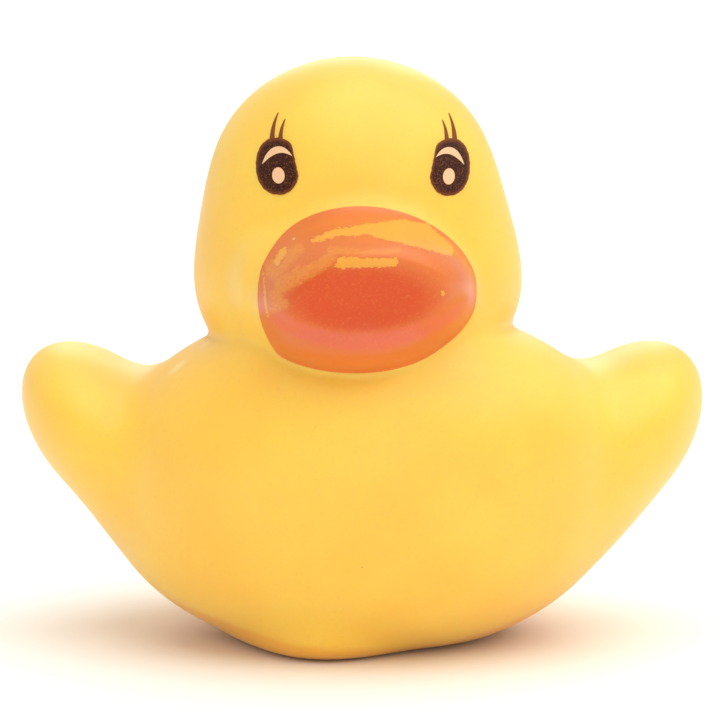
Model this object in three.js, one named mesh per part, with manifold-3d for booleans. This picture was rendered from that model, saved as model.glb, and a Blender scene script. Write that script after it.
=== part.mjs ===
// A small squeaky rubber duck: a hollow skin of soft PVC, cast in one piece, with a squeaker
// pressed into a hole in its base.
// Millimetres. +Z is up and the duck faces -Y. The origin is on the rest face, under the middle of
// the duck's overall width and length.
import * as THREE from 'three';
import { mergeVertices } from 'three/addons/utils/BufferGeometryUtils.js';
import Module from 'manifold-3d';

const wasm = await Module();
wasm.setup();

// Driving dimensions of the skin
const WALL = 1.6;
const HEAD_TURN = 5; // degrees that the beak points towards +X
const BODY_CENTRE = new THREE.Vector3(0, 1, 12); // the whole surface of the body is in sight of it
const HEAD_CENTRE = new THREE.Vector3(-0.5, -3, 33);
const BEAK_CENTRE = new THREE.Vector3(0.3, -13.5, 30.2);
const BEYOND = 80; // longer than any distance inside the duck
const STRIDE = 0.5; // step of the search for the surface along a ray
const HALVINGS = 14; // of the last step, to close in on the surface
const OUTSIDE_DETAIL = [12, 8, 7]; // fineness of the casts of body, head and beak
const CAVITY_DETAIL = [7, 5, 4];

// Driving dimensions of the underside
const REST_LEFT = -5; // the base is flat from here towards +X
const WARP = 0.3; // height that it has lifted towards -X
const WARP_WIDTH = 5.5;
const WARP_STEPS = 6;

// Driving dimensions of the squeaker, whose axis stands on the middle of the base
const SQUEAKER_X = -1.2;
const SQUEAKER_Y = -1.5;
const HOLE_RADIUS = 4;
const FIT = 0.15; // clearance of a pressed piece on each side
const RECESS_RADIUS = 5.3;
const RECESS_DEPTH = 0.7;
const FLANGE_RADIUS = 5;
const FLANGE_THICKNESS = 0.5;
const BARB_RADIUS = 4.5;
const BARB_HEIGHT = 0.8;
const HOUSING_HEIGHT = 7;
const CHAMBER_RADIUS = 2.6;
const CHAMBER_FLOOR = 1.2;
const AIR_HOLE_RADIUS = 0.8;
const BLOCK_HEIGHT = 4.6;
const CHANNEL_RADIUS = 0.7;
const CHANNEL_FLOOR = 0.8; // the channel stops short of the top of the block
const REED_THICKNESS = 0.15;
const REED_WIDTH = 3.2;
const REED_HEIGHT = 5.2;
const REED_GAP = 0.1;
const ROUND_SIDES = 32;

// The skin is a soft blend of egg-shaped lobes. A lobe has a middle, three half sizes, a turn in
// degrees about X, Y and Z, and the width over which it melts into the lobes listed before it.
function lobe(middle, half, turn, blend) {
  const [x, y, z] = turn.map(THREE.MathUtils.degToRad);
  const rotation = new THREE.Matrix4().makeRotationFromEuler(new THREE.Euler(x, y, z, 'ZYX'));
  const placed = rotation.setPosition(...middle);
  return { toLobe: placed.invert(), half: new THREE.Vector3(...half), blend };
}

const BODY = [
  lobe([0, 0.5, 12.75], [21.7, 19.5, 14.3], [0, 0, 0], 1), // belly
  lobe([1.2, -6.5, 17.45], [18.5, 14, 10], [-8, 0, 0], 6), // breast
  lobe([0, 10.5, 14.5], [16, 12.5, 10], [12, 0, 0], 6), // rump
  lobe([0, 16.6, 18.3], [7.5, 9, 3.2], [35, 0, 0], 6), // tail
  lobe([-20.9, 1.5, 16.7], [9.1, 11, 5.4], [0, 46.5, 0], 3.4), // wing at -X
  lobe([20.35, 1.5, 16.05], [9.8, 11, 5.9], [0, -48, 0], 3.35), // wing at +X
  lobe([-0.2, -3.5, 25.2], [9.6, 10.5, 6], [0, 0, 0], 3), // neck
  lobe([-0.3, 3, 24], [8.5, 8, 5], [0, 0, 0], 4), // nape
  lobe([0, -10.5, 22.5], [9, 6.5, 7], [0, 0, 0], 5), // throat
  lobe([-3.1, -2, 2.1], [6.5, 11.5, 3.55], [0, 0, 0], 3), // foot
];

const HEAD = [
  lobe([-0.35, -3.5, 30.35], [13.4, 12.8, 10.4], [0, 0, 0], 1), // cheeks
  lobe([-0.8, -2.5, 37.6], [11.8, 12, 10.75], [0, 0, 0], 4), // crown
  lobe([-6.9, -13.2, 31.2], [3, 3.1, 3.6], [0, 10, 0], 2), // swelling beside the beak
];

const BILL = [
  lobe([0.15, -14.8, 31], [7.7, 7.8, 6], [0, 5.8, HEAD_TURN], 2), // root
  lobe([0.5, -15, 31], [6, 10.1, 3.9], [-15, -3, HEAD_TURN], 1.5), // upper bill
  lobe([-2.1, -15, 29.9], [6, 9.4, 3.6], [-12, -12, HEAD_TURN], 2.5), // its side at -X
  lobe([2.9, -15, 31], [5.5, 9.2, 3.3], [-12, 6, HEAD_TURN], 2.5), // its side at +X
];
const MOUTH = lobe([-0.2, -26.9, 29.7], [16, 4.4, 6.5], [27, -2, 2], 0.8); // hollow under its tip
const LIP = lobe([-0.7, -15, 27.8], [6.9, 7.4, 3.35], [0, 0.3, HEAD_TURN], 0.8); // lower lip

// Roughly how far a point lies outside a lobe, negative inside it
function distanceToLobe(point, { toLobe, half }) {
  const scaled = point.clone().applyMatrix4(toLobe).divide(half);
  const reach = scaled.length();
  const steepness = scaled.divide(half).length();
  return (reach * (reach - 1)) / steepness;
}

function softMinimum(a, b, blend) {
  const overlap = Math.max(blend - Math.abs(a - b), 0) / blend;
  return Math.min(a, b) - (overlap * overlap * blend) / 4;
}

function distanceToLobes(point, lobes) {
  const join = (nearest, next) => softMinimum(nearest, distanceToLobe(point, next), next.blend);
  return lobes.slice(1).reduce(join, distanceToLobe(point, lobes[0]));
}

const distanceToBody = (point) => distanceToLobes(point, BODY);
const distanceToHead = (point) => distanceToLobes(point, HEAD);

function distanceToBeak(point) {
  const closed = distanceToLobes(point, BILL);
  const hollowed = -softMinimum(-closed, distanceToLobe(point, MOUTH), MOUTH.blend);
  return softMinimum(hollowed, distanceToLobe(point, LIP), LIP.blend);
}

// The distance from a centre, along a ray, at which the form has fallen to a given depth
function surfaceAlong(centre, direction, distance, depth) {
  const probe = (t) => distance(centre.clone().addScaledVector(direction, t)) + depth;
  let outside = STRIDE;
  while (probe(outside) < 0 && outside < BEYOND) outside += STRIDE;
  let inside = outside - STRIDE;
  for (let halving = 0; halving < HALVINGS; halving += 1) {
    const middle = (inside + outside) / 2;
    if (probe(middle) < 0) inside = middle;
    else outside = middle;
  }
  return outside;
}

// A closed mesh whose shared vertices are merged, as a solid
function solidOf(geometry) {
  const bare = geometry.clone();
  bare.deleteAttribute('normal');
  bare.deleteAttribute('uv');
  const merged = mergeVertices(bare);
  const vertProperties = new Float32Array(merged.attributes.position.array);
  const triVerts = new Uint32Array(merged.index.array);
  return new wasm.Manifold(new wasm.Mesh({ numProp: 3, vertProperties, triVerts }));
}

function geometryOf(solid) {
  const { vertProperties, triVerts } = solid.getMesh();
  const geometry = new THREE.BufferGeometry();
  geometry.setAttribute('position', new THREE.BufferAttribute(new Float32Array(vertProperties), 3));
  geometry.setIndex(new THREE.BufferAttribute(new Uint32Array(triVerts), 1));
  geometry.computeVertexNormals();
  return geometry;
}

// A ball whose every point is pushed out along its own ray, until it meets the form
function castForm(centre, detail, distance, depth) {
  const ball = new THREE.IcosahedronGeometry(1, detail);
  const position = ball.attributes.position;
  const direction = new THREE.Vector3();
  for (let i = 0; i < position.count; i += 1) {
    direction.fromBufferAttribute(position, i).normalize();
    const reach = surfaceAlong(centre, direction, distance, depth);
    direction.multiplyScalar(reach).add(centre);
    position.setXYZ(i, direction.x, direction.y, direction.z);
  }
  return solidOf(ball);
}

// Everything below the underside, which is flat and rises a little towards -X
function belowUnderside() {
  const ease = (t) => t * t * (3 - 2 * t);
  const outline = new THREE.Shape();
  outline.moveTo(-BEYOND / 2, -BEYOND / 2);
  outline.lineTo(BEYOND / 2, -BEYOND / 2);
  outline.lineTo(BEYOND / 2, 0);
  for (let step = 0; step <= WARP_STEPS; step += 1) {
    const along = step / WARP_STEPS;
    outline.lineTo(REST_LEFT - along * WARP_WIDTH, WARP * ease(along));
  }
  outline.lineTo(-BEYOND / 2, WARP);
  const block = new THREE.ExtrudeGeometry(outline, { depth: BEYOND, bevelEnabled: false });
  block.rotateX(Math.PI / 2);
  block.translate(0, BEYOND / 2, 0);
  return solidOf(block);
}

// An upright cylinder on the squeaker's axis
function squeakerCylinder(radius, bottom, top) {
  const cylinder = new THREE.CylinderGeometry(radius, radius, top - bottom, ROUND_SIDES);
  cylinder.rotateX(Math.PI / 2);
  cylinder.translate(SQUEAKER_X, SQUEAKER_Y, (top + bottom) / 2);
  return solidOf(cylinder);
}

// The whole form at one depth under its surface. Body, head and beak are cast from their own
// centres, and meet in the creases of the neck and of the face.
function castDuck(depth, [bodyDetail, headDetail, beakDetail]) {
  const body = castForm(BODY_CENTRE, bodyDetail, distanceToBody, depth);
  const head = castForm(HEAD_CENTRE, headDetail, distanceToHead, depth);
  const beak = castForm(BEAK_CENTRE, beakDetail, distanceToBeak, depth);
  return body.add(head).add(beak);
}

function duckShell() {
  const floor = belowUnderside();
  const outside = castDuck(0, OUTSIDE_DETAIL).subtract(floor);
  const cavity = castDuck(WALL, CAVITY_DETAIL).subtract(floor.translate(0, 0, WALL));
  const hole = squeakerCylinder(HOLE_RADIUS, -WALL, 2 * WALL);
  const recess = squeakerCylinder(RECESS_RADIUS, -WALL, RECESS_DEPTH);
  return outside.subtract(cavity).subtract(hole).subtract(recess);
}

// The plug: a flange in the recess, a neck in the hole, a barb above the wall and a chamber inside
function squeakerHousing() {
  const flangeBottom = RECESS_DEPTH - FLANGE_THICKNESS - FIT;
  const flangeTop = RECESS_DEPTH - FIT;
  const barbBottom = WALL + FIT;
  const neck = HOLE_RADIUS - FIT;
  const profile = [
    [AIR_HOLE_RADIUS, flangeBottom],
    [FLANGE_RADIUS, flangeBottom],
    [FLANGE_RADIUS, flangeTop],
    [neck, flangeTop],
    [neck, barbBottom],
    [BARB_RADIUS, barbBottom],
    [neck, barbBottom + BARB_HEIGHT],
    [neck, HOUSING_HEIGHT],
    [CHAMBER_RADIUS, HOUSING_HEIGHT],
    [CHAMBER_RADIUS, CHAMBER_FLOOR],
    [AIR_HOLE_RADIUS, CHAMBER_FLOOR],
    [AIR_HOLE_RADIUS, flangeBottom],
  ];
  const points = profile.map(([radius, height]) => new THREE.Vector2(radius, height));
  const plug = new THREE.LatheGeometry(points, ROUND_SIDES);
  plug.rotateX(Math.PI / 2);
  plug.translate(SQUEAKER_X, SQUEAKER_Y, 0);
  return solidOf(plug);
}

// Half of a cylinder that fills the back of the chamber, with an air channel down its flat face
function reedBlock() {
  const radius = CHAMBER_RADIUS - FIT;
  const bottom = CHAMBER_FLOOR + FIT;
  const half = new THREE.Shape();
  half.absarc(0, 0, radius, 0, Math.PI);
  half.lineTo(-CHANNEL_RADIUS, 0);
  half.absarc(0, 0, CHANNEL_RADIUS, Math.PI, 0, true);
  half.closePath();
  const grooved = new THREE.ExtrudeGeometry(half, {
    depth: BLOCK_HEIGHT - CHANNEL_FLOOR,
    bevelEnabled: false,
    curveSegments: ROUND_SIDES / 2,
  });
  const lid = new THREE.Shape();
  lid.absarc(0, 0, radius, 0, Math.PI);
  lid.closePath();
  const cap = new THREE.ExtrudeGeometry(lid, {
    depth: CHANNEL_FLOOR,
    bevelEnabled: false,
    curveSegments: ROUND_SIDES / 2,
  });
  cap.translate(0, 0, BLOCK_HEIGHT - CHANNEL_FLOOR);
  const block = solidOf(grooved).add(solidOf(cap));
  return block.translate(SQUEAKER_X, SQUEAKER_Y, bottom);
}

// The thin strip that covers the channel and buzzes when air is drawn past it
function reed() {
  const strip = new THREE.BoxGeometry(REED_WIDTH, REED_THICKNESS, REED_HEIGHT);
  const bottom = CHAMBER_FLOOR + FIT;
  strip.translate(SQUEAKER_X, SQUEAKER_Y - REED_GAP - REED_THICKNESS / 2, bottom + REED_HEIGHT / 2);
  return solidOf(strip);
}

const vinyl = new THREE.MeshStandardMaterial({ color: 0xfbd04b, roughness: 0.45, metalness: 0 });
const polythene = new THREE.MeshStandardMaterial({ color: 0xf0eee6, roughness: 0.5, metalness: 0 });
const blockPlastic = new THREE.MeshStandardMaterial({ color: 0xdedbd0, roughness: 0.55, metalness: 0 });
const film = new THREE.MeshStandardMaterial({ color: 0xe8e4d4, roughness: 0.3, metalness: 0 });

const duck = new THREE.Group();

function addPiece(name, solid, material) {
  const mesh = new THREE.Mesh(geometryOf(solid), material);
  mesh.name = name;
  duck.add(mesh);
}

addPiece('duck_shell', duckShell(), vinyl);
addPiece('squeaker_housing', squeakerHousing(), polythene);
addPiece('squeaker_reed_block', reedBlock(), blockPlastic);
addPiece('squeaker_reed', reed(), film);

export default duck;
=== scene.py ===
"""The look of a small squeaky bath duck of soft PVC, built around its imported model."""
import logging
import math
from dataclasses import dataclass, field
from enum import Enum

import bmesh
import bpy
import numpy as np
from mathutils import Euler, Matrix, Vector


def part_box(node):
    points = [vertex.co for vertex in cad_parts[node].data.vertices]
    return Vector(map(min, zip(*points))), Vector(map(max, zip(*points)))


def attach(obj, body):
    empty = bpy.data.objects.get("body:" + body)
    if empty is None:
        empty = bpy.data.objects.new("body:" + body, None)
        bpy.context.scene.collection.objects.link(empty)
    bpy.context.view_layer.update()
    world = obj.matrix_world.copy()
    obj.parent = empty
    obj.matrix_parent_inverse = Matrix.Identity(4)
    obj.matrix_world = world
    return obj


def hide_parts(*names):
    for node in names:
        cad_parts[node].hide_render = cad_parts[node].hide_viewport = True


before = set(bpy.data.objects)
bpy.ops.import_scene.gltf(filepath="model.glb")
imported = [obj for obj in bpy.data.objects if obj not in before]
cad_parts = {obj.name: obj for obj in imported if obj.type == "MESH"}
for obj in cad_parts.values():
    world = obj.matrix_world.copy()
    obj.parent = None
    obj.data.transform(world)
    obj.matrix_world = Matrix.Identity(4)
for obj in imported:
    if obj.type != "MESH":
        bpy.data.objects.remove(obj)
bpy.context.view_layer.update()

MM = 0.001
BODY = "root"
log = logging.getLogger("duck")


def linear(hex_colour: str) -> tuple[float, float, float, float]:
    """Turn an sRGB hex colour into linear RGBA.

    Args:
        hex_colour: Six hex digits, with or without a leading #.

    Returns:
        The linear colour, with an alpha of 1.
    """
    digits = hex_colour.lstrip("#")
    values = [int(digits[i:i + 2], 16) / 255 for i in (0, 2, 4)]
    curve = [v / 12.92 if v <= 0.04045 else ((v + 0.055) / 1.055) ** 2.4 for v in values]
    return (curve[0], curve[1], curve[2], 1.0)


# ---------------------------------------------------------------------------------------------
# Form: the shape of the skin as a field, in millimetres
# ---------------------------------------------------------------------------------------------

@dataclass(frozen=True)
class Lobe:
    """An egg-shaped part of the form.

    The turn is in degrees about X, Y and Z, and the blend is the width over which the lobe melts
    into those before it.
    """

    middle: tuple[float, float, float]
    half: tuple[float, float, float]
    turn: tuple[float, float, float] = (0.0, 0.0, 0.0)
    blend: float = 1.0

    def rotation(self) -> Matrix:
        """Return the lobe's turn as a matrix."""
        return Euler([math.radians(angle) for angle in self.turn], "XYZ").to_matrix()

    def placement(self) -> Matrix:
        """Return the matrix that makes a unit ball into this lobe."""
        size = Matrix.Diagonal((*self.half, 1.0))
        return Matrix.Translation(self.middle) @ self.rotation().to_4x4() @ size

    def distance(self, points: np.ndarray) -> np.ndarray:
        """Say roughly how far points lie outside the lobe.

        Args:
            points: Places in millimetres, one a row.

        Returns:
            Distances, negative inside.
        """
        scaled = (points - np.array(self.middle)) @ np.array(self.rotation()) / np.array(self.half)
        reach = np.linalg.norm(scaled, axis=1)
        steepness = np.linalg.norm(scaled / np.array(self.half), axis=1) + 1e-9
        return reach * (reach - 1.0) / steepness


def soft_minimum(a: np.ndarray, b: np.ndarray, blend: float) -> np.ndarray:
    """Return the lower of two fields, rounded where they cross over the width of the blend."""
    overlap = np.maximum(blend - np.abs(a - b), 0.0) / blend
    return np.minimum(a, b) - overlap * overlap * blend / 4.0


def ease(t: np.ndarray) -> np.ndarray:
    """Return a smooth ramp from 0 to 1 as t goes from 0 to 1."""
    clipped = np.clip(t, 0.0, 1.0)
    return clipped * clipped * (3.0 - 2.0 * clipped)


@dataclass(frozen=True)
class DuckForm:
    """The whole outside of the duck as a smooth field, in millimetres, facing -Y."""

    head_turn: float = 5.0
    rest_left: float = -5.0
    warp: float = 0.3
    warp_width: float = 5.5
    rim_blend: float = 0.8

    def body(self) -> list[Lobe]:
        """Return the lobes of body, wings, tail and head, in the order that they blend."""
        return [
            Lobe((0, 0.5, 12.75), (21.7, 19.5, 14.3)),
            Lobe((1.2, -6.5, 17.45), (18.5, 14, 10), (-8, 0, 0), 6),
            Lobe((0, 10.5, 14.5), (16, 12.5, 10), (12, 0, 0), 6),
            Lobe((0, 16.6, 18.3), (7.5, 9, 3.2), (35, 0, 0), 6),
            Lobe((-20.9, 1.5, 16.7), (9.1, 11, 5.4), (0, 46.5, 0), 3.4),
            Lobe((20.35, 1.5, 16.05), (9.8, 11, 5.9), (0, -48, 0), 3.35),
            Lobe((-0.2, -3.5, 25.2), (9.6, 10.5, 6), (0, 0, 0), 3),
            Lobe((-0.3, 3, 24), (8.5, 8, 5), (0, 0, 0), 4),
            Lobe((-0.35, -3.5, 30.35), (13.4, 12.8, 10.4), (0, 0, 0), 0.85),
            Lobe((-0.8, -2.5, 37.6), (11.8, 12, 10.75), (0, 0, 0), 4),
            Lobe((0, -10.5, 22.5), (9, 6.5, 7), (0, 0, 0), 5),
            Lobe((-3.1, -2, 2.1), (6.5, 11.5, 3.55), (0, 0, 0), 3),
            Lobe((-6.9, -13.2, 31.2), (3, 3.1, 3.6), (0, 10, 0), 2),
        ]

    def bill(self) -> list[Lobe]:
        """Return the lobes of the beak's root and of the upper bill."""
        turn = self.head_turn
        return [
            Lobe((0.15, -14.8, 31), (7.7, 7.8, 6), (0, 5.8, turn), 2),
            Lobe((0.5, -15, 31), (6, 10.1, 3.9), (-15, -3, turn), 1.5),
            Lobe((-2.1, -15, 29.9), (6, 9.4, 3.6), (-12, -12, turn), 2.5),
            Lobe((2.9, -15, 31), (5.5, 9.2, 3.3), (-12, 6, turn), 2.5),
        ]

    def mouth(self) -> Lobe:
        """Return the hollow under the tip of the bill."""
        return Lobe((-0.2, -26.9, 29.7), (16, 4.4, 6.5), (27, -2, 2), 0.8)

    def lip(self) -> Lobe:
        """Return the lower lip."""
        return Lobe((-0.7, -15, 27.8), (6.9, 7.4, 3.35), (0, 0.3, self.head_turn), 0.8)

    def underside(self, x: np.ndarray) -> np.ndarray:
        """Return the height of the base at each x, which has warped up a little at -X."""
        return self.warp * ease((self.rest_left - x) / self.warp_width)

    @staticmethod
    def join(points: np.ndarray, lobes: list[Lobe], start: np.ndarray | None = None) -> np.ndarray:
        """Blend the fields of lobes, after a starting field if there is one."""
        total = start
        for lobe in lobes:
            here = lobe.distance(points)
            total = here if total is None else soft_minimum(total, here, lobe.blend)
        return total

    def beak_distance(self, points: np.ndarray) -> np.ndarray:
        """Return how far points lie outside the beak alone."""
        return self.join(points, [self.lip()], self.join(points, self.bill()))

    def distance(self, points: np.ndarray, depth: float = 0.0) -> np.ndarray:
        """Say roughly how far points lie outside the form.

        Args:
            points: Places in millimetres, one a row.
            depth: How far under the outer surface the form's edge is taken.

        Returns:
            Distances, negative inside.
        """
        closed = self.join(points, self.bill(), self.join(points, self.body()))
        hollowed = -soft_minimum(-closed, self.mouth().distance(points), self.mouth().blend)
        opened = self.join(points, [self.lip()], hollowed)
        floor = self.underside(points[:, 0]) + depth - points[:, 2]
        return -soft_minimum(-(opened + depth), -floor, self.rim_blend)

    def normal(self, points: np.ndarray) -> np.ndarray:
        """Return the outward direction of the form at each point."""
        step = 0.05
        slopes = []
        for axis in np.eye(3) * step:
            slopes.append(self.distance(points + axis) - self.distance(points - axis))
        slope = np.stack(slopes, axis=1)
        return slope / (np.linalg.norm(slope, axis=1, keepdims=True) + 1e-12)

    def settle(self, points: np.ndarray, depth: float = 0.0, rounds: int = 3) -> np.ndarray:
        """Move points straight onto the form's surface.

        Args:
            points: Places in millimetres, one a row.
            depth: How far under the outer surface they end.
            rounds: How many steps are taken.

        Returns:
            The moved points.
        """
        for _ in range(rounds):
            points = points - self.normal(points) * self.distance(points, depth)[:, None]
        return points

    def front(self, flat: np.ndarray) -> np.ndarray:
        """Press flat places onto the face of the duck, straight along Y as a printing pad does.

        Args:
            flat: Pairs of x and z in millimetres, one a row.

        Returns:
            The places on the form.
        """
        start_y = -32.0
        points = np.column_stack([flat[:, 0], np.full(len(flat), start_y), flat[:, 1]])
        for _ in range(60):
            points[:, 1] += 0.8 * self.distance(points)
        return points


# ---------------------------------------------------------------------------------------------
# Mesh helpers
# ---------------------------------------------------------------------------------------------

def coordinates(mesh: bpy.types.Mesh) -> np.ndarray:
    """Return a mesh's vertices as rows of x, y and z."""
    flat = np.empty(len(mesh.vertices) * 3)
    mesh.vertices.foreach_get("co", flat)
    return flat.reshape(-1, 3)


def set_coordinates(mesh: bpy.types.Mesh, points: np.ndarray) -> None:
    """Write rows of x, y and z into a mesh's vertices."""
    mesh.vertices.foreach_set("co", points.ravel())
    mesh.update()


def move_verts(verts: list[bmesh.types.BMVert], points: np.ndarray) -> None:
    """Move each corner to its row of x, y and z."""
    for vertex, point in zip(verts, points):
        vertex.co = Vector(point)


def relax(points: np.ndarray, edges: np.ndarray, share: float) -> np.ndarray:
    """Move every point part of the way to the mean of its neighbours.

    Args:
        points: Places, one a row.
        edges: Pairs of point numbers.
        share: The part of the way, from 0 to 1.

    Returns:
        The moved points.
    """
    both = np.concatenate([edges, edges[:, ::-1]])
    count = np.bincount(both[:, 0], minlength=len(points))
    sums = [np.bincount(both[:, 0], points[both[:, 1], axis], len(points)) for axis in range(3)]
    means = np.stack(sums, axis=1) / np.maximum(count, 1)[:, None]
    return points + share * (means - points)


def set_attribute(piece: bpy.types.Object, name: str, values: np.ndarray) -> None:
    """Give a piece's mesh a value at every vertex."""
    attribute = piece.data.attributes.new(name, "FLOAT", "POINT")
    attribute.data.foreach_set("value", values.astype(np.float32))


def new_object(name: str, data: bpy.types.ID) -> bpy.types.Object:
    """Put a new object with its data into the scene, at the origin."""
    made = bpy.data.objects.new(name, data)
    bpy.context.scene.collection.objects.link(made)
    return made


def finish_object(
    name: str, bm: bmesh.types.BMesh, material: bpy.types.Material, crease_degrees: float = 50.0
) -> bpy.types.Object:
    """Turn a bmesh in millimetres into an object in metres that rides on the duck.

    Args:
        name: The piece's name.
        bm: The mesh, which is freed.
        material: Its finish.
        crease_degrees: Edges that turn more than this stay sharp.

    Returns:
        The new object, at the origin.
    """
    bmesh.ops.scale(bm, vec=(MM, MM, MM), verts=bm.verts)
    mesh = bpy.data.meshes.new(name)
    bm.to_mesh(mesh)
    bm.free()
    mesh.shade_smooth()
    mesh.set_sharp_from_angle(angle=math.radians(crease_degrees))
    mesh.materials.append(material)
    piece = new_object(name, mesh)
    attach(piece, BODY)
    log.info("%s: %d faces", name, len(mesh.polygons))
    return piece


def press_on(bm: bmesh.types.BMesh, form: DuckForm, proud: float, thickness: float) -> None:
    """Press a flat film in the XZ plane onto the duck's face and give it its thickness.

    Args:
        bm: The flat film, in millimetres.
        form: The duck's form.
        proud: How far its outer side stands out of the skin.
        thickness: How thick it is.
    """
    flat = np.array([(v.co.x, v.co.z) for v in bm.verts])
    points = form.front(flat)
    points = points + form.normal(points) * proud
    move_verts(bm.verts, points)
    bmesh.ops.recalc_face_normals(bm, faces=bm.faces)
    first = next(iter(bm.faces))
    if first.normal.y > 0:
        bmesh.ops.reverse_faces(bm, faces=bm.faces)
    bmesh.ops.solidify(bm, geom=bm.faces[:], thickness=thickness)


# ---------------------------------------------------------------------------------------------
# Finishes
# ---------------------------------------------------------------------------------------------

def add(
    tree: bpy.types.NodeTree, kind: str, settings: dict | None = None, inputs: dict | None = None
) -> bpy.types.Node:
    """Add a node with its settings and its inputs.

    Args:
        tree: The node tree.
        kind: The node's type, without the words ShaderNode.
        settings: Attributes to set on the node.
        inputs: Values to set or sockets to link, by input name or number.

    Returns:
        The new node.
    """
    node = tree.nodes.new("ShaderNode" + kind)
    for name, value in (settings or {}).items():
        setattr(node, name, value)
    for name, value in (inputs or {}).items():
        if isinstance(value, bpy.types.NodeSocket):
            tree.links.new(value, node.inputs[name])
        else:
            node.inputs[name].default_value = value
    return node


def start_material(name: str) -> tuple[bpy.types.Material, bpy.types.NodeTree, bpy.types.Node]:
    """Make an empty node material and return it with its tree and its shader."""
    material = bpy.data.materials.new(name)
    material.use_nodes = True
    tree = material.node_tree
    tree.nodes.clear()
    shader = add(tree, "BsdfPrincipled")
    add(tree, "OutputMaterial", {"is_active_output": True}, {"Surface": shader.outputs["BSDF"]})
    return material, tree, shader


def grain(size_mm: float) -> float:
    """Return the noise scale that gives blobs of a size in millimetres."""
    return 1.0 / (size_mm * MM)


@dataclass(frozen=True)
class Mark:
    """A small mark on a surface: a soft-edged egg of another colour.

    The place, the half sizes and the softness are in millimetres, and the turn is in degrees.
    """

    place: tuple[float, float, float]
    half: tuple[float, float, float]
    colour: str
    strength: float = 1.0
    turn: tuple[float, float, float] = (0.0, 0.0, 0.0)
    soft: float = 0.5

    def lay(
        self, tree: bpy.types.NodeTree, place: bpy.types.NodeSocket, under: bpy.types.NodeSocket
    ) -> bpy.types.NodeSocket:
        """Lay the mark over a colour.

        Args:
            tree: The node tree.
            place: Where the surface is, in metres.
            under: The colour below the mark.

        Returns:
            The colour with the mark on it.
        """
        local = add(tree, "Mapping", {"vector_type": "TEXTURE"}, {
            "Vector": place, "Location": [v * MM for v in self.place],
            "Rotation": [math.radians(v) for v in self.turn], "Scale": [v * MM for v in self.half]})
        reach = add(tree, "VectorMath", {"operation": "LENGTH"}, {0: local.outputs[0]})
        share = add(tree, "MapRange", {"interpolation_type": "SMOOTHSTEP"}, {
            0: reach.outputs["Value"], 1: 1.0, 2: 1.0 - self.soft, 3: 0.0, 4: self.strength})
        return add(tree, "Mix", {"data_type": "RGBA"}, {
            0: share.outputs[0], 6: under, 7: linear(self.colour)}).outputs[2]


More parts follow.
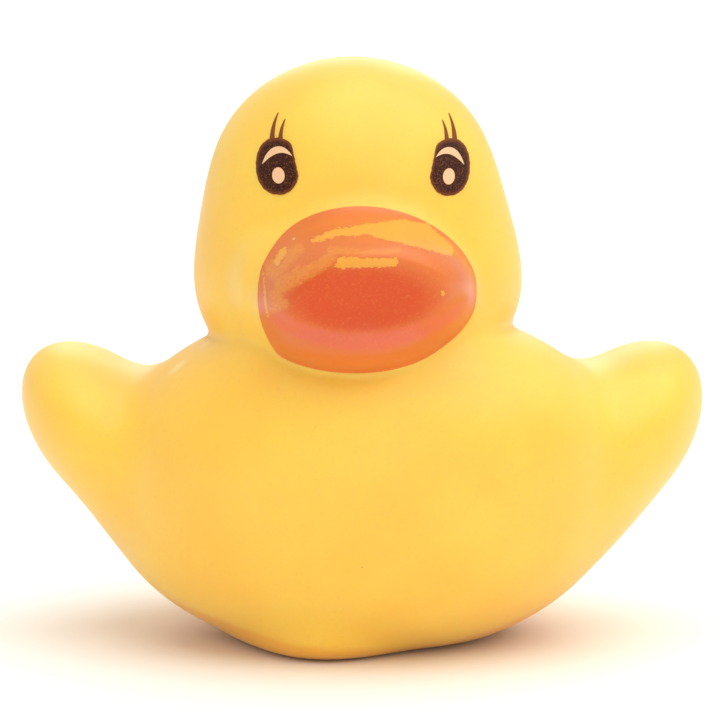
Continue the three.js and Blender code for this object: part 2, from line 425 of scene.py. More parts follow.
@dataclass(frozen=True)
class SoftVinyl:
    """Rotocast plasticised PVC: a soft skin that light soaks into, so shade turns orange."""

    colour: str = "#FFC948"
    deep_colour: str = "#FCBB3A"
    underside_shade_colour: str = "#F6A42C"
    roughness: float = 0.42

    def marks(self) -> list[Mark]:
        """Return the scuffs, the stuck lint and the dark specks that handling has left, and two painted
        highlights on the top of the left shoulder.
        """
        white, pale, hair, speck = "#FFF3C8", "#FFE9A6", "#C8963C", "#B98A3A"
        return [
            Mark((3.98, -18.9, 22.9), (0.28, 0.5, 0.22), white, 0.8, (0, 20, 0), 0.9),
            Mark((4.61, -19.2, 22.08), (0.5, 0.5, 0.16), white, 0.85, (0, 25, 0), 0.9),
            Mark((5.3, -18.9, 22.2), (0.22, 0.5, 0.3), white, 0.75, (0, -20, 0), 0.9),
            Mark((3.35, -19.1, 22.6), (0.2, 0.4, 0.12), white, 0.6, (0, 0, 0), 0.9),
            Mark((6.9, -17.6, 23.4), (0.13, 0.4, 0.3), white, 0.6, (0, 10, 0), 0.9),
            Mark((9.84, -18.8, 17.95), (0.5, 0.5, 0.07), pale, 0.7, (0, -35, 0), 0.9),
            Mark((10.3, -18.6, 17.3), (0.35, 0.5, 0.05), pale, 0.6, (0, -30, 0), 0.9),
            Mark((6.25, -19.6, 20.2), (0.98, 0.6, 0.05), hair, 0.6, (0, -8, 0), 0.8),
            Mark((7.25, -19.1, 20.6), (0.05, 0.5, 0.32), hair, 0.55, (0, 5, 0), 0.8),
            Mark((7.7, -18.8, 20.88), (0.4, 0.5, 0.05), hair, 0.5, (0, 5, 0), 0.8),
            Mark((16.35, -13.1, 11.5), (0.35, 0.5, 0.06), hair, 0.8, (0, 30, 0), 0.8),
            Mark((16.75, -12.5, 11.05), (0.06, 0.5, 0.3), hair, 0.8, (0, 15, 0), 0.8),
            Mark((-3.58, -20.7, 16.4), (0.3, 0.5, 0.04), hair, 0.55, (0, 40, 0), 0.8),
            Mark((-3.74, -20.0, 20.5), (0.04, 0.5, 0.22), hair, 0.5, (0, 20, 0), 0.8),
            Mark((-17.28, -9.05, 21.4), (0.16, 0.4, 0.18), speck, 0.75, (0, 0, 0), 0.8),
            Mark((-14.18, -15.6, 12.5), (0.14, 0.4, 0.14), speck, 0.7, (0, 0, 0), 0.8),
            Mark((-19.6, -10.6, 16.0), (0.18, 0.4, 0.2), speck, 0.45, (0, 0, 0), 0.9),
            Mark((14.46, -15.6, 18.9), (0.09, 0.4, 0.12), speck, 0.7, (0, 0, 0), 0.8),
            Mark((-0.04, -18.9, 9.1), (0.11, 0.4, 0.13), speck, 0.7, (0, 0, 0), 0.8),
            # Painted highlights: two large soft pale patches where light falls on the top of the left
            # shoulder.
            Mark((-14.9, -8.2, 23.6), (1.5, 1.5, 0.45), pale, 0.5, (0, -38, 0), 1.0),
            Mark((-12.8, -6.8, 25.1), (1.2, 1.5, 0.4), pale, 0.4, (0, -38, 0), 1.0),
        ]

    def material(self) -> bpy.types.Material:
        """Return the node material."""
        material, tree, shader = start_material("rotocast soft PVC")
        place = add(tree, "TexCoord").outputs["Object"]
        # The pigment settles unevenly in the turning mould, which leaves faint clouds.
        clouds = add(tree, "TexNoise", None, {"Vector": place, "Scale": grain(9.0), "Detail": 2.0})
        share = add(tree, "MapRange", None, {0: clouds.outputs["Fac"], 1: 0.35, 2: 0.7, 3: 0.0, 4: 0.6})
        colour = add(tree, "Mix", {"data_type": "RGBA"}, {
            0: share.outputs[0], 6: linear(self.colour), 7: linear(self.deep_colour)}).outputs[2]
        # Painted shade: below a line near the base the colour is mixed towards a deeper orange, standing in
        # for the shade under the body.
        under = add(tree, "Attribute", {"attribute_name": "underside"})
        colour = add(tree, "Mix", {"data_type": "RGBA"}, {
            0: under.outputs["Fac"], 6: colour, 7: linear(self.underside_shade_colour)}).outputs[2]
        # Pigment flecks of a tenth of a millimetre, drawn at three tenths so that they show.
        flecks = add(tree, "TexNoise", None, {"Vector": place, "Scale": grain(0.3), "Detail": 1.0})
        share = add(tree, "MapRange", None, {0: flecks.outputs["Fac"], 1: 0.55, 2: 0.75, 3: 0.0, 4: 0.22})
        colour = add(tree, "Mix", {"data_type": "RGBA"}, {
            0: share.outputs[0], 6: colour, 7: linear("#F3B24A")}).outputs[2]
        for mark in self.marks():
            colour = mark.lay(tree, place, colour)
        tree.links.new(colour, shader.inputs["Base Color"])
        # Handling leaves the satin of the mould a little patchy.
        wipes = add(tree, "TexNoise", None, {"Vector": place, "Scale": grain(5.0), "Detail": 3.0})
        rough = add(tree, "MapRange", None, {
            0: wipes.outputs["Fac"], 1: 0.3, 2: 0.7, 3: self.roughness - 0.04, 4: self.roughness + 0.06})
        tree.links.new(rough.outputs[0], shader.inputs["Roughness"])
        # The mould's skin shows as a very fine orange peel.
        peel = add(tree, "TexNoise", None, {"Vector": place, "Scale": grain(0.5), "Detail": 3.0})
        bump = add(tree, "Bump", None, {
            "Height": peel.outputs["Fac"], "Strength": 0.06, "Distance": 0.1 * MM})
        tree.links.new(bump.outputs["Normal"], shader.inputs["Normal"])
        shader.inputs["Subsurface Weight"].default_value = 0.5
        shader.inputs["Subsurface Radius"].default_value = (1.0, 0.42, 0.1)
        shader.inputs["Subsurface Scale"].default_value = 3.0 * MM
        shader.inputs["Sheen Weight"].default_value = 0.1
        shader.inputs["Sheen Roughness"].default_value = 0.5
        return material


@dataclass(frozen=True)
class SprayPaint:
    """Sprayed orange vinyl paint, thin on top and rubbed through to the yellow on high places."""

    top_colour: str = "#E97332"
    deep_colour: str = "#E04A10"
    lip_reflection_colour: str = "#EC6A48"
    thin_colour: str = "#F39034"
    bare_colour: str = "#F8A038"
    edge_colour: str = "#DE6A2C"

    def material(self) -> bpy.types.Material:
        """Return the node material."""
        material, tree, shader = start_material("sprayed vinyl paint")
        place = add(tree, "TexCoord").outputs["Object"]
        # The mouth's hollow is drawn deeper red: partly paint lying thicker there, where the gun was held
        # in front, and partly painted shade of the hollow. A paler pinkish band along the lower lip is a
        # painted reflection of the pale floor.
        thick_paint_and_shade = add(tree, "Attribute", {"attribute_name": "thick_paint_and_shade"}).outputs["Fac"]
        lip = add(tree, "Attribute", {"attribute_name": "lip"}).outputs["Fac"]
        colour = add(tree, "Mix", {"data_type": "RGBA"}, {
            0: lip, 6: linear(self.top_colour), 7: linear(self.lip_reflection_colour)}).outputs[2]
        colour = add(tree, "Mix", {"data_type": "RGBA"}, {
            0: thick_paint_and_shade, 6: colour, 7: linear(self.deep_colour)}).outputs[2]
        # Spray lands as drops, which leave a fine speckle.
        drops = add(tree, "TexNoise", None, {"Vector": place, "Scale": grain(0.22), "Detail": 2.0})
        share = add(tree, "MapRange", None, {0: drops.outputs["Fac"], 1: 0.52, 2: 0.7, 3: 0.0, 4: 0.2})
        colour = add(tree, "Mix", {"data_type": "RGBA"}, {
            0: share.outputs[0], 6: colour, 7: linear(self.thin_colour)}).outputs[2]
        # Rubbing thins the paint in streaks, so the yellow glows through in grains.
        thin = add(tree, "Attribute", {"attribute_name": "thin"}).outputs["Fac"]
        streaks = add(tree, "Mapping", None, {"Vector": place, "Scale": (0.35, 1.0, 1.6)})
        rub = add(tree, "TexNoise", None, {
            "Vector": streaks.outputs[0], "Scale": grain(0.3), "Detail": 4.0, "Roughness": 0.65})
        rubbed = add(tree, "Math", {"operation": "ADD"}, {0: thin, 1: rub.outputs["Fac"]})
        share = add(tree, "MapRange", {"interpolation_type": "SMOOTHSTEP"}, {
            0: rubbed.outputs[0], 1: 1.15, 2: 1.65, 3: 0.0, 4: 0.8})
        colour = add(tree, "Mix", {"data_type": "RGBA"}, {
            0: share.outputs[0], 6: colour, 7: linear(self.thin_colour)}).outputs[2]
        # Where it has gone altogether its edge is torn in fine teeth, and a little thicker.
        bare = add(tree, "Attribute", {"attribute_name": "bare"}).outputs["Fac"]
        teeth = add(tree, "TexNoise", None, {"Vector": place, "Scale": grain(0.28), "Detail": 3.0})
        torn = add(tree, "Math", {"operation": "MULTIPLY_ADD"}, {
            0: teeth.outputs["Fac"], 1: 0.5, 2: bare})
        rim = add(tree, "MapRange", {"interpolation_type": "SMOOTHSTEP"}, {
            0: torn.outputs[0], 1: 0.1, 2: 0.26, 3: 0.0, 4: 0.6})
        colour = add(tree, "Mix", {"data_type": "RGBA"}, {
            0: rim.outputs[0], 6: colour, 7: linear(self.edge_colour)}).outputs[2]
        gone = add(tree, "MapRange", {"interpolation_type": "SMOOTHSTEP"}, {
            0: torn.outputs[0], 1: 0.24, 2: 0.3, 3: 0.0, 4: 1.0})
        colour = add(tree, "Mix", {"data_type": "RGBA"}, {
            0: gone.outputs[0], 6: colour, 7: linear(self.bare_colour)}).outputs[2]
        white = "#FFDCC0"
        for mark in (
            Mark((-5.41, -17.0, 35.07), (0.13, 0.3, 0.13), white, 0.8),
            Mark((-1.29, -22.1, 28.2), (0.1, 0.3, 0.1), white, 0.8),
            Mark((0.03, -22.0, 27.5), (0.1, 0.3, 0.26), white, 0.8, (0, -25, 0)),
        ):
            colour = mark.lay(tree, place, colour)
        tree.links.new(colour, shader.inputs["Base Color"])
        peel = add(tree, "TexNoise", None, {"Vector": place, "Scale": grain(0.4), "Detail": 2.0})
        step = add(tree, "Math", {"operation": "MULTIPLY_ADD"}, {
            0: gone.outputs[0], 1: -0.6, 2: peel.outputs["Fac"]})
        bump = add(tree, "Bump", None, {"Height": step.outputs[0], "Strength": 0.15, "Distance": 0.06 * MM})
        tree.links.new(bump.outputs["Normal"], shader.inputs["Normal"])
        shader.inputs["Roughness"].default_value = 0.33
        shader.inputs["Specular IOR Level"].default_value = 0.35
        shader.inputs["Subsurface Weight"].default_value = 0.2
        shader.inputs["Subsurface Radius"].default_value = (1.0, 0.3, 0.1)
        shader.inputs["Subsurface Scale"].default_value = 1.5 * MM
        return material


@dataclass(frozen=True)
class PadInk:
    """Pad-printed ink: a thin matt film, with the fine speckle of the etched plate."""

    name: str
    colour: str
    speckle: str
    fringe: str
    speckle_share: float = 0.5

    def material(self) -> bpy.types.Material:
        """Return the node material."""
        material, tree, shader = start_material(self.name)
        place = add(tree, "TexCoord").outputs["Object"]
        # The rim of the print runs thin and lets the skin colour it.
        rim = add(tree, "Attribute", {"attribute_name": "rim"}).outputs["Fac"]
        colour = add(tree, "Mix", {"data_type": "RGBA"}, {
            0: rim, 6: linear(self.colour), 7: linear(self.fringe)}).outputs[2]
        grains = add(tree, "TexNoise", None, {"Vector": place, "Scale": grain(0.13), "Detail": 2.0})
        share = add(tree, "MapRange", None, {
            0: grains.outputs["Fac"], 1: 0.52, 2: 0.66, 3: 0.0, 4: self.speckle_share})
        colour = add(tree, "Mix", {"data_type": "RGBA"}, {
            0: share.outputs[0], 6: colour, 7: linear(self.speckle)}).outputs[2]
        tree.links.new(colour, shader.inputs["Base Color"])
        shader.inputs["Roughness"].default_value = 0.35
        shader.inputs["Specular IOR Level"].default_value = 0.2
        return material


@dataclass(frozen=True)
class MouldedPlastic:
    """Injection-moulded polythene: a waxy, milky plastic with a fine moulded grain."""

    name: str
    colour: str
    roughness: float = 0.45

    def material(self) -> bpy.types.Material:
        """Return the node material."""
        material, tree, shader = start_material(self.name)
        place = add(tree, "TexCoord").outputs["Object"]
        fine = add(tree, "TexNoise", None, {"Vector": place, "Scale": grain(0.25), "Detail": 3.0})
        tone = add(tree, "MapRange", None, {0: fine.outputs["Fac"], 1: 0.3, 2: 0.7, 3: 0.0, 4: 0.12})
        colour = add(tree, "Mix", {"data_type": "RGBA"}, {
            0: tone.outputs[0], 6: linear(self.colour), 7: linear("#D9D4C4")})
        tree.links.new(colour.outputs[2], shader.inputs["Base Color"])
        bump = add(tree, "Bump", None, {
            "Height": fine.outputs["Fac"], "Strength": 0.1, "Distance": 0.05 * MM})
        tree.links.new(bump.outputs["Normal"], shader.inputs["Normal"])
        shader.inputs["Roughness"].default_value = self.roughness
        shader.inputs["Subsurface Weight"].default_value = 0.3
        shader.inputs["Subsurface Radius"].default_value = (1.0, 0.9, 0.8)
        shader.inputs["Subsurface Scale"].default_value = 1.0 * MM
        return material


# ---------------------------------------------------------------------------------------------
# Skin
# ---------------------------------------------------------------------------------------------

@dataclass
class DuckSkin:
    """The hollow vinyl skin with its squeaker hole, and the paint on its beak."""

    form: DuckForm
    vinyl: SoftVinyl = field(default_factory=SoftVinyl)
    paint: SprayPaint = field(default_factory=SprayPaint)
    wall: float = 1.6
    outer_voxel: float = 0.9
    inner_voxel: float = 1.8
    recess_radius: float = 5.3
    recess_depth: float = 0.7
    hole_radius: float = 4.0
    round_sides: int = 64
    # The painted shade under the body: its strength, and the line near the base below which it falls.
    underside_shade_strength: float = 0.6
    base_line_x: tuple[float, ...] = (-15.0, -10.0, -6.0, -2.0, 3.0, 7.0, 11.0, 14.5)
    base_line_z: tuple[float, ...] = (4.3, 2.8, 2.0, 1.6, 1.2, 1.2, 2.2, 3.8)
    base_line_blur: float = 0.6
    # Where the painted shade of the mouth's hollow and the painted reflection along the lower lip lie.
    mouth_middle: tuple[float, float] = (-0.1, 31.0)
    mouth_half: tuple[float, float] = (6.0, 3.0)
    lip_reflection_height: float = 27.6
    lip_reflection_curve: float = 0.035
    lip_reflection_half: float = 0.8
    spray_middle: tuple[float, float] = (0.4, 30.6)
    spray_half: tuple[float, float] = (8.65, 8.4)
    edge_reach: float = 0.7
    film_proud: float = 0.05
    film_thickness: float = 0.07

    def cast(self, voxel: float, depth: float) -> bpy.types.Mesh:
        """Cast the form as an even mesh of four-sided faces.

        Args:
            voxel: The size of a face, in millimetres.
            depth: How far under the outer surface the mesh lies.

        Returns:
            The mesh, in millimetres.
        """
        bm = bmesh.new()
        for lobe in self.form.body() + self.form.bill() + [self.form.lip()]:
            bmesh.ops.create_icosphere(bm, subdivisions=4, radius=1.0, matrix=lobe.placement())
        seed = bpy.data.meshes.new("seed")
        bm.to_mesh(seed)
        bm.free()
        carrier = new_object("seed", seed)
        remesh = carrier.modifiers.new("remesh", "REMESH")
        remesh.mode = "VOXEL"
        remesh.voxel_size = voxel
        graph = bpy.context.evaluated_depsgraph_get()
        mesh = bpy.data.meshes.new_from_object(carrier.evaluated_get(graph))
        bpy.data.objects.remove(carrier)
        edges = np.empty(len(mesh.edges) * 2, dtype=np.int32)
        mesh.edges.foreach_get("vertices", edges)
        points = coordinates(mesh)
        for _ in range(8):
            points = relax(points, edges.reshape(-1, 2), 0.5)
            points = self.form.settle(points, depth, 1)
        set_coordinates(mesh, self.form.settle(points, depth, 3))
        return mesh

    def refined(self, mesh: bpy.types.Mesh) -> bmesh.types.BMesh:
        """Split every face of an outer cast in four and settle the new points on the form."""
        bm = bmesh.new()
        bm.from_mesh(mesh)
        bmesh.ops.subdivide_edges(bm, edges=bm.edges[:], cuts=1, use_grid_fill=True)
        move_verts(bm.verts, self.form.settle(np.array([v.co for v in bm.verts]), 0.0, 2))
        return bm

    def open_around(
        self, bm: bmesh.types.BMesh, axis: Vector, radius: float, height: float, margin: float
    ) -> list[bmesh.types.BMEdge]:
        """Cut a round opening through a level wall.

        Args:
            bm: The mesh.
            axis: A point on the opening's upright axis.
            radius: The opening's radius.
            height: Where the wall is.
            margin: Faces are taken away this far past the radius, and drawn back to a true round.

        Returns:
            The round edge.
        """
        near = [
            v for v in bm.verts
            if abs(v.co.z - height) < 0.5 and (v.co.xy - axis.xy).length < radius + margin
        ]
        bmesh.ops.delete(bm, geom=near, context="VERTS")
        ragged = [e for e in bm.edges if e.is_boundary and (e.verts[0].co.xy - axis.xy).length < radius + 3]
        ragged = [e for e in ragged if abs(e.verts[0].co.z - height) < 0.5]
        place = Matrix.Translation((axis.x, axis.y, height))
        ring = bmesh.ops.create_circle(bm, segments=self.round_sides, radius=radius, matrix=place)
        round_edge = list({edge for vertex in ring["verts"] for edge in vertex.link_edges})
        bmesh.ops.bridge_loops(bm, edges=ragged + round_edge)
        return round_edge

    def step(
        self, bm: bmesh.types.BMesh, edge: list[bmesh.types.BMEdge], axis: Vector,
        radius: float, height: float
    ) -> list[bmesh.types.BMEdge]:
        """Carry a round edge on to another radius and height, and return the new edge."""
        made = bmesh.ops.extrude_edge_only(bm, edges=edge)["geom"]
        for vertex in [g for g in made if isinstance(g, bmesh.types.BMVert)]:
            arm = (vertex.co.xy - axis.xy).normalized() * radius
            vertex.co = Vector((axis.x + arm.x, axis.y + arm.y, height))
        return [g for g in made if isinstance(g, bmesh.types.BMEdge) and g.is_boundary]

    def build(self) -> bpy.types.Object:
        """Build the hollow skin and return it."""
        low, high = (Vector(corner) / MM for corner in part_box("squeaker_housing"))
        axis = (low + high) / 2
        bm = self.refined(self.cast(self.outer_voxel, 0.0))
        self.build_paint(bm)
        recess = self.open_around(bm, axis, self.recess_radius, 0.0, 0.3)
        wall_edge = self.step(bm, recess, axis, self.recess_radius, self.recess_depth)
        floor_edge = self.step(bm, wall_edge, axis, self.hole_radius, self.recess_depth)
        inside = bmesh.new()
        inside.from_mesh(self.cast(self.inner_voxel, self.wall))
        bmesh.ops.reverse_faces(inside, faces=inside.faces[:])
        cavity = bpy.data.meshes.new("cavity")
        inside.to_mesh(cavity)
        inside.free()
        bm.from_mesh(cavity)
        bm.verts.ensure_lookup_table()
        top_edge = self.open_around(bm, axis, self.hole_radius, self.wall, 0.5)
        bmesh.ops.bridge_loops(bm, edges=floor_edge + top_edge)
        bmesh.ops.recalc_face_normals(bm, faces=bm.faces[:])
        skin = finish_object("duck_skin", bm, self.vinyl.material())
        # Painted shade: how far each point lies under the line near the base, scaled by the strength of the
        # painted shade.
        points = coordinates(skin.data) / MM
        base_line = np.interp(points[:, 0], self.base_line_x, self.base_line_z)
        underside = ease((base_line - points[:, 2]) / self.base_line_blur)
        set_attribute(skin, "underside", underside * self.underside_shade_strength)
        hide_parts("duck_shell")
        return skin

    def paint_share(self, points: np.ndarray) -> np.ndarray:
        """Say how far inside the sprayed area points lie, in millimetres, negative outside it."""
        plain = self.form.join(points, self.form.body())
        crease = (plain - self.form.beak_distance(points)) * 0.6
        across = (points[:, 0] - self.spray_middle[0]) / self.spray_half[0]
        height = (points[:, 2] - self.spray_middle[1]) / self.spray_half[1]
        mask = (1.0 - np.hypot(across, height)) * self.spray_half[0]
        return np.minimum(crease, mask)

    def wear(self) -> dict[str, list[tuple[tuple, tuple, float, float]]]:
        """Return the strokes of each kind of wear, in the XZ plane.

        A stroke has its two ends and its half width at each of them.
        """
        return {
            "bare": [
                ((-1.6, 34.05), (2.5, 34.1), 0.42, 0.34), ((-2.15, 33.75), (-1.5, 33.8), 0.12, 0.3),
                ((-3.9, 35.2), (-2.2, 35.85), 0.16, 0.26), ((-2.2, 35.85), (0.2, 36.15), 0.26, 0.3),
                ((0.2, 36.2), (2.9, 36.0), 0.3, 0.6), ((2.9, 36.0), (4.9, 35.5), 0.6, 0.62),
                ((4.9, 35.5), (7.0, 34.2), 0.62, 0.2), ((-6.8, 33.3), (-6.2, 34.2), 0.24, 0.28),
                ((-7.9, 32.9), (-7.65, 30.5), 0.05, 0.12), ((-7.65, 30.5), (-7.45, 29.1), 0.12, 0.08),
                ((6.24, 31.5), (6.26, 31.3), 0.2, 0.1), ((6.7, 31.25), (6.85, 31.2), 0.02, 0.0),
                ((-5.66, 31.95), (-3.5, 33.2), -0.1, -0.04), ((-3.5, 33.2), (-2.2, 33.8), -0.04, 0.04),
                ((2.9, 33.8), (4.85, 32.95), 0.02, -0.1), ((-7.3, 30.0), (-6.0, 30.4), 0.0, -0.12),
            ],
            "thin": [
                ((-6.4, 31.9), (-2.5, 34.2), 0.75, 0.55), ((-7.1, 32.7), (-4.9, 34.6), 0.8, 0.5),
                ((-2.5, 34.75), (2.9, 34.95), 0.45, 0.3), ((-7.3, 29.8), (-6.2, 30.6), 0.5, 0.6),
                ((-6.9, 31.0), (-5.0, 33.2), 0.6, 0.5),
            ],
        }

    def nearness(self, points: np.ndarray, strokes: list[tuple[tuple, tuple, float, float]]) -> np.ndarray:
        """Say how far inside strokes points lie, in millimetres, seen from the front.

        Args:
            points: Places in millimetres, one a row.
            strokes: The strokes.

        Returns:
            The greatest depth in any stroke, negative outside them all.
        """
        best = np.full(len(points), -9.0)
        flat = points[:, [0, 2]]
        for start, end, first, last in strokes:
            line = np.array(end) - np.array(start)
            along = np.clip((flat - np.array(start)) @ line / (line @ line), 0.0, 1.0)
            away = np.linalg.norm(flat - np.array(start) - along[:, None] * line, axis=1)
            best = np.maximum(best, first + (last - first) * along - away)
        return best

    def keep_main_sheet(self, bm: bmesh.types.BMesh) -> None:
        """Keep the sheet of faces that holds the frontmost corner, without ragged single faces."""
        for _ in range(3):
            ragged = [v for v in bm.verts if len(v.link_faces) < 2]
            bmesh.ops.delete(bm, geom=ragged, context="VERTS")
        first = min(bm.verts, key=lambda v: v.co.y)
        seen = {first}
        waiting = [first]
        while waiting:
            vertex = waiting.pop()
            for edge in vertex.link_edges:
                other = edge.other_vert(vertex)
                if other not in seen:
                    seen.add(other)
                    waiting.append(other)
        bmesh.ops.delete(bm, geom=[v for v in bm.verts if v not in seen], context="VERTS")

    def on_spray_edge(self, start: np.ndarray) -> np.ndarray:
        """Move the film's edge over the skin to where the spray ends.

        Args:
            start: Places on the skin in millimetres, one a row.

        Returns:
            The moved places, each within the edge's reach of its start.
        """
        points = start
        for _ in range(4):
            here = self.paint_share(points)
            slopes = [
                (self.paint_share(points + axis) - self.paint_share(points - axis)) / 0.1
                for axis in np.eye(3) * 0.05
            ]
            slope = np.stack(slopes, axis=1)
            normal = self.form.normal(points)
            slope = slope - normal * (slope * normal).sum(axis=1, keepdims=True)
            steep = (slope * slope).sum(axis=1, keepdims=True) + 0.05
            points = self.form.settle(points - slope * here[:, None] / steep, 0.0, 1)
            move = points - start
            far = np.maximum(np.linalg.norm(move, axis=1, keepdims=True) / self.edge_reach, 1.0)
            points = start + move / far
        return points

    def build_paint(self, skin: bmesh.types.BMesh) -> bpy.types.Object:
        """Build the film of paint on the beak from the skin's own faces.

        Args:
            skin: The refined outer skin.

        Returns:
            The film.
        """
        bm = skin.copy()
        share = self.paint_share(np.array([v.co for v in bm.verts]))
        slack = 0.25 * self.outer_voxel
        outside = [v for v, s in zip(bm.verts, share) if s < -slack or v.co.y > 0]
        bmesh.ops.delete(bm, geom=outside, context="VERTS")
        self.keep_main_sheet(bm)
        edge_verts = [v for v in bm.verts if v.is_boundary]
        move_verts(edge_verts, self.on_spray_edge(np.array([v.co for v in edge_verts])))
        inner = [v for v in bm.verts if not v.is_boundary]
        for _ in range(3):
            bmesh.ops.smooth_vert(
                bm, verts=inner, factor=0.5, use_axis_x=True, use_axis_y=True, use_axis_z=True)
        bmesh.ops.subdivide_edges(bm, edges=bm.edges[:], cuts=1, use_grid_fill=True)
        bottom = bm.verts[:]
        made = bmesh.ops.extrude_face_region(bm, geom=bm.faces[:], use_keep_orig=True)["geom"]
        top = [v for v in made if isinstance(v, bmesh.types.BMVert)]
        for verts, rise in ((bottom, self.film_proud - self.film_thickness), (top, self.film_proud)):
            points = self.form.settle(np.array([v.co for v in verts]), 0.0, 1)
            move_verts(verts, points + self.form.normal(points) * rise)
        film = finish_object("beak_paint", bm, self.paint.material())
        points = coordinates(film.data) / MM
        strokes = self.wear()
        set_attribute(film, "bare", self.nearness(points, strokes["bare"]))
        set_attribute(film, "thin", ease((self.nearness(points, strokes["thin"]) + 0.5) / 0.9))
        # Painted shade and thicker paint in the mouth's hollow, and a painted reflection in a band along
        # the lower lip.
        across = (points[:, 0] - self.mouth_middle[0]) / self.mouth_half[0]
        height = (points[:, 2] - self.mouth_middle[1]) / self.mouth_half[1]
        thick_paint_and_shade = ease((1.3 - np.hypot(across, height)) / 0.65)
        lip_reflection_line = self.lip_reflection_height + self.lip_reflection_curve * points[:, 0] ** 2
        lip = ease(1.4 - np.abs(points[:, 2] - lip_reflection_line) / self.lip_reflection_half)
        set_attribute(film, "lip", lip)
        set_attribute(film, "thick_paint_and_shade", thick_paint_and_shade * (1.0 - lip))
        return film


# ---------------------------------------------------------------------------------------------
# Eyes
# ---------------------------------------------------------------------------------------------

class Side(Enum):
    """Which side of the duck a print is on, as the sign of its x."""

    MINUS_X = -1
    PLUS_X = 1


@dataclass
class EyePrint:
    """A pad-printed eye: a dark oval with two lashes, a pale lid and a pale glint.

    Its shapes are drawn for the side at -X, in millimetres from the eye's middle, with the beak
    towards +u. The other side is their mirror image.
    """

    side: Side
    form: DuckForm
    middle: tuple[float, float]
    width_share: float = 1.0
    ink_proud: float = 0.03
    light_proud: float = 0.05
    thickness: float = 0.04
    half_width: float = 1.74
    half_height: float = 2.18
    squareness: float = 2.2
    flat_reach: float = 1.489
    flat_tilt: float = 13.0

    def outline(self, angle: np.ndarray) -> np.ndarray:
        """Return the oval's radius at each angle: round outside, flatter towards the beak."""
        power = self.squareness
        wide = (np.abs(np.cos(angle)) / self.half_width) ** power
        high = (np.abs(np.sin(angle)) / self.half_height) ** power
        flat_side = np.maximum(np.cos(angle - math.radians(self.flat_tilt)), 0.1)
        oval = np.minimum((wide + high) ** (-1.0 / power), self.flat_reach / flat_side)
        ragged = 0.012 * np.sin(angle * 17.0) + 0.01 * np.sin(angle * 29.0 + 1.0)
        return oval + ragged

    def disc(self, bm: bmesh.types.BMesh, steps: int, centre: tuple[float, float], radius: object) -> None:
        """Add a flat disc of four-sided faces to a film.

        Args:
            bm: The film.
            steps: How many faces across.
            centre: Where its middle is, from the eye's middle.
            radius: The radius as a function of angles.
        """
        made = bmesh.ops.create_grid(bm, x_segments=steps, y_segments=steps, size=1.0)["verts"]
        square = np.array([(v.co.x, v.co.y) for v in made])
        s, t = square[:, 0], square[:, 1]
        x = s * np.sqrt(1.0 - t * t / 2.0)
        y = t * np.sqrt(1.0 - s * s / 2.0)
        angle = np.arctan2(y, x)
        reach = np.hypot(x, y) * radius(angle)
        for vertex, a, r in zip(made, angle, reach):
            vertex.co = Vector((centre[0] + r * math.cos(a), 0.0, centre[1] + r * math.sin(a)))

    def stroke(
        self, bm: bmesh.types.BMesh, bend: list[tuple[float, float]], width: object, steps: int = 16
    ) -> None:
        """Add a flat stroke along a curve of three points to a film.

        Args:
            bm: The film.
            bend: The curve's start, its pull and its end.
            width: The stroke's width as a function of the share of its length.
            steps: How many faces along.
        """
        made = bmesh.ops.create_grid(bm, x_segments=steps, y_segments=4, size=1.0)["verts"]
        start, pull, end = (Vector(p) for p in bend)
        for vertex in made:
            along = (vertex.co.x + 1.0) / 2.0
            across = vertex.co.y
            spine = start * (1 - along) ** 2 + pull * 2 * along * (1 - along) + end * along ** 2
            heading = ((pull - start) * (1 - along) + (end - pull) * along).normalized()
            place = spine + Vector((-heading.y, heading.x)) * across * width(along) / 2
            vertex.co = Vector((place.x, 0.0, place.y))

    def place(self, bm: bmesh.types.BMesh, proud: float) -> None:
        """Mirror a film for its side, move it to the eye and press it onto the face."""
        sign = -self.side.value
        for vertex in bm.verts:
            vertex.co.x = self.middle[0] + vertex.co.x * sign * self.width_share
            vertex.co.z = self.middle[1] + vertex.co.z
        press_on(bm, self.form, proud, self.thickness)

    def build(self, ink: bpy.types.Material, light: bpy.types.Material) -> list[bpy.types.Object]:
        """Build the ink and its lights and return them."""
        label = "right" if self.side is Side.MINUS_X else "left"
        dark = bmesh.new()
        self.disc(dark, 26, (0.0, 0.0), self.outline)
        self.stroke(dark, [(-0.45, 1.7), (-0.5, 3.0), (0.03, 4.05)], lambda t: 0.42 * (1 - t) + 0.05)
        self.stroke(dark, [(0.22, 1.95), (0.22, 2.9), (0.6, 3.62)], lambda t: 0.34 * (1 - t) + 0.05)
        self.place(dark, self.ink_proud)
        print_film = finish_object(f"{label}_eye_ink", dark, ink)
        points = coordinates(print_film.data) / MM
        u = -(points[:, 0] - self.middle[0]) * self.side.value / self.width_share
        v = points[:, 2] - self.middle[1]
        share = np.hypot(u, v) / self.outline(np.arctan2(v, u))
        set_attribute(print_film, "rim", ease((share - 0.84) / 0.18) * 0.85)
        pale = bmesh.new()
        self.disc(
            pale, 12, (0.09, -0.69),
            lambda a: 1.0 / np.sqrt((np.cos(a) / 0.5) ** 2 + (np.sin(a) / 0.62) ** 2))
        self.stroke(pale, [(-1.22, 0.1), (-0.1, 2.0), (1.16, 0.87)], lambda t: 2.0 * t * (1 - t) + 0.02, 20)
        self.place(pale, self.light_proud)
        light_film = finish_object(f"{label}_eye_lights", pale, light)
        return [print_film, light_film]


# ---------------------------------------------------------------------------------------------
# Squeaker
# ---------------------------------------------------------------------------------------------

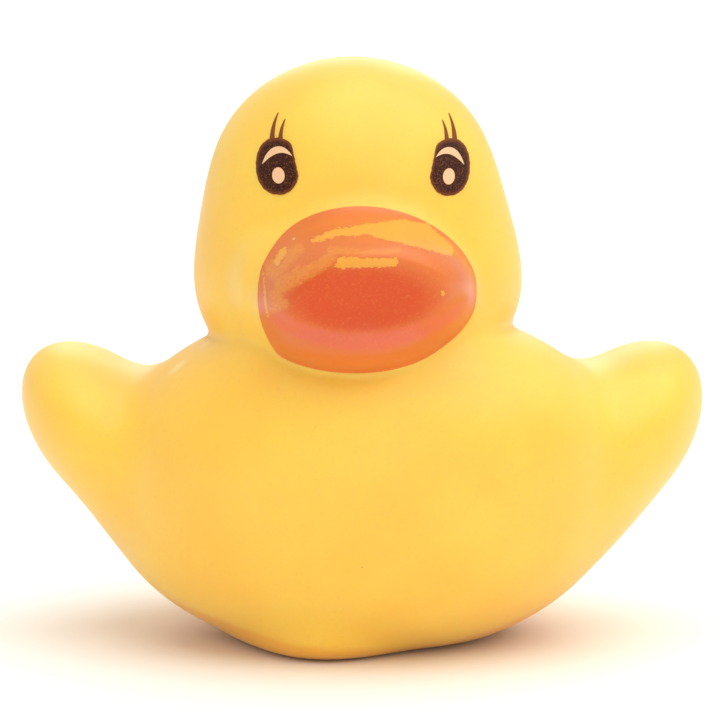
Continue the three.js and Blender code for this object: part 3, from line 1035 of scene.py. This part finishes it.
@dataclass
class Squeaker:
    """The plug in the base, turned as one profile, and the finishes of the pieces in it."""

    plastic: MouldedPlastic = field(
        default_factory=lambda: MouldedPlastic("moulded polythene", "#EFEDE4"))
    film: MouldedPlastic = field(
        default_factory=lambda: MouldedPlastic("polyester reed film", "#E6E2D2", 0.25))
    flange_thickness: float = 0.5
    neck_inset: float = 1.15
    barb_inset: float = 0.5
    barb_bottom: float = 1.75
    barb_height: float = 0.8
    chamber_radius: float = 2.6
    chamber_floor: float = 1.2
    air_hole: float = 0.8
    edge: float = 0.12

    def build(self) -> bpy.types.Object:
        """Build the plug and dress the two pieces inside it."""
        low, high = (Vector(corner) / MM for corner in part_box("squeaker_housing"))
        axis = (low + high) / 2
        rim = (high.x - low.x) / 2
        neck = rim - self.neck_inset
        bottom, top = low.z, high.z
        profile = [
            (self.air_hole, bottom + 0.15), (self.air_hole + 0.25, bottom), (2.2, bottom),
            (2.35, bottom + 0.15), (2.75, bottom + 0.15), (2.9, bottom), (rim - self.edge, bottom),
            (rim, bottom + self.edge), (rim, bottom + self.flange_thickness),
            (neck, bottom + self.flange_thickness), (neck, self.barb_bottom),
            (rim - self.barb_inset, self.barb_bottom), (neck, self.barb_bottom + self.barb_height),
            (neck, top), (self.chamber_radius, top), (self.chamber_radius, self.chamber_floor),
            (self.air_hole, self.chamber_floor),
        ]
        bm = bmesh.new()
        verts = [bm.verts.new((axis.x + r, axis.y, z)) for r, z in profile]
        edges = [bm.edges.new((a, b)) for a, b in zip(verts, verts[1:] + verts[:1])]
        bmesh.ops.spin(
            bm, geom=verts + edges, cent=axis, axis=(0, 0, 1), angle=math.tau, steps=64, use_merge=True)
        bmesh.ops.remove_doubles(bm, verts=bm.verts, dist=1e-4)
        bmesh.ops.recalc_face_normals(bm, faces=bm.faces[:])
        plug = finish_object("squeaker_plug", bm, self.plastic.material(), 35.0)
        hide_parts("squeaker_housing")
        for node, finish in (("squeaker_reed_block", self.plastic), ("squeaker_reed", self.film)):
            cad_piece = bpy.data.objects[node]
            for slot in cad_piece.material_slots:
                slot.material = finish.material()
        return plug


# ---------------------------------------------------------------------------------------------
# Studio
# ---------------------------------------------------------------------------------------------

@dataclass
class Studio:
    """A white tent: a pale floor, soft light from above and all round, and the camera."""

    distance: float = 0.4
    elevation: float = 8.0
    view_width: float = 59.55 * MM
    target: tuple[float, float, float] = (-0.2 * MM, -0.13 * MM, 23.06 * MM)
    sensor: float = 36.0
    silk_angle: float = 80.0
    silk_strength: float = 2.05
    silk_tilt: tuple[float, float] = (8.0, 16.0)
    tent_strength: float = 0.68
    back_place: tuple[float, float, float] = (0.0, 0.45, 0.22)
    back_size: float = 0.25
    back_watts: float = 0.35
    fill_place: tuple[float, float, float] = (0.1, -0.55, 0.14)
    fill_size: float = 0.26
    fill_watts: float = 0.28

    def camera(self) -> None:
        """Place the camera in front of the duck and a little above it."""
        data = bpy.data.cameras.new("camera")
        data.sensor_width = self.sensor
        data.lens = self.sensor * self.distance / self.view_width
        data.clip_start = 0.01
        data.clip_end = 10.0
        camera = new_object("camera", data)
        slope = math.radians(self.elevation)
        target = Vector(self.target)
        camera.location = target + Vector((0, -math.cos(slope), math.sin(slope))) * self.distance
        camera.rotation_euler = (math.radians(90.0 - self.elevation), 0, 0)
        bpy.context.scene.camera = camera

    def floor(self) -> None:
        """Lay the pale floor."""
        bm = bmesh.new()
        bmesh.ops.create_grid(bm, x_segments=1, y_segments=1, size=3.0)
        mesh = bpy.data.meshes.new("floor")
        bm.to_mesh(mesh)
        bm.free()
        material, _, shader = start_material("white card")
        shader.inputs["Base Color"].default_value = linear("#F7F6F3")
        shader.inputs["Roughness"].default_value = 0.9
        mesh.materials.append(material)
        new_object("floor", mesh)

    def lamp(self, name: str, place: Vector, size: float, watts: float) -> None:
        """Hang a square soft lamp that points at the duck.

        Args:
            name: The lamp's name.
            place: Where it hangs.
            size: The side of its square.
            watts: Its power.
        """
        data = bpy.data.lights.new(name, "AREA")
        data.size = size
        data.energy = watts
        lamp = new_object(name, data)
        lamp.location = place
        lamp.rotation_euler = (Vector(self.target) - place).to_track_quat("-Z", "Y").to_euler()

    def build(self) -> None:
        """Set up camera, floor, lamps and surroundings."""
        self.camera()
        self.floor()
        sky = bpy.data.lights.new("overhead_silk", "SUN")
        sky.angle = math.radians(self.silk_angle)
        sky.energy = self.silk_strength
        silk = new_object("overhead_silk", sky)
        silk.rotation_euler = (math.radians(self.silk_tilt[0]), math.radians(self.silk_tilt[1]), 0)
        self.lamp("back_softbox", Vector(self.back_place), self.back_size, self.back_watts)
        self.lamp("low_fill", Vector(self.fill_place), self.fill_size, self.fill_watts)
        world = bpy.data.worlds.new("tent")
        world.use_nodes = True
        background = world.node_tree.nodes["Background"]
        background.inputs["Color"].default_value = (1, 1, 1, 1)
        background.inputs["Strength"].default_value = self.tent_strength
        bpy.context.scene.world = world
        bpy.context.scene.view_settings.view_transform = "Standard"


def main() -> None:
    """Build the duck piece by piece, then its surroundings."""
    logging.basicConfig(level=logging.INFO, format="%(name)s: %(message)s")
    form = DuckForm()
    Studio().build()
    DuckSkin(form).build()
    ink = PadInk("pad-printed brown ink", "#341204", "#824A26", "#84421A", 0.6).material()
    light = PadInk("pad-printed cream ink", "#EDBC8E", "#E4AA80", "#E4AA80", 0.3).material()
    EyePrint(Side.MINUS_X, form, (-6.77, 40.36)).build(ink, light)
    EyePrint(Side.PLUS_X, form, (6.96, 40.17), 0.95).build(ink, light)
    Squeaker().build()
    bpy.context.view_layer.update()


if __name__ == "__main__":
    main()
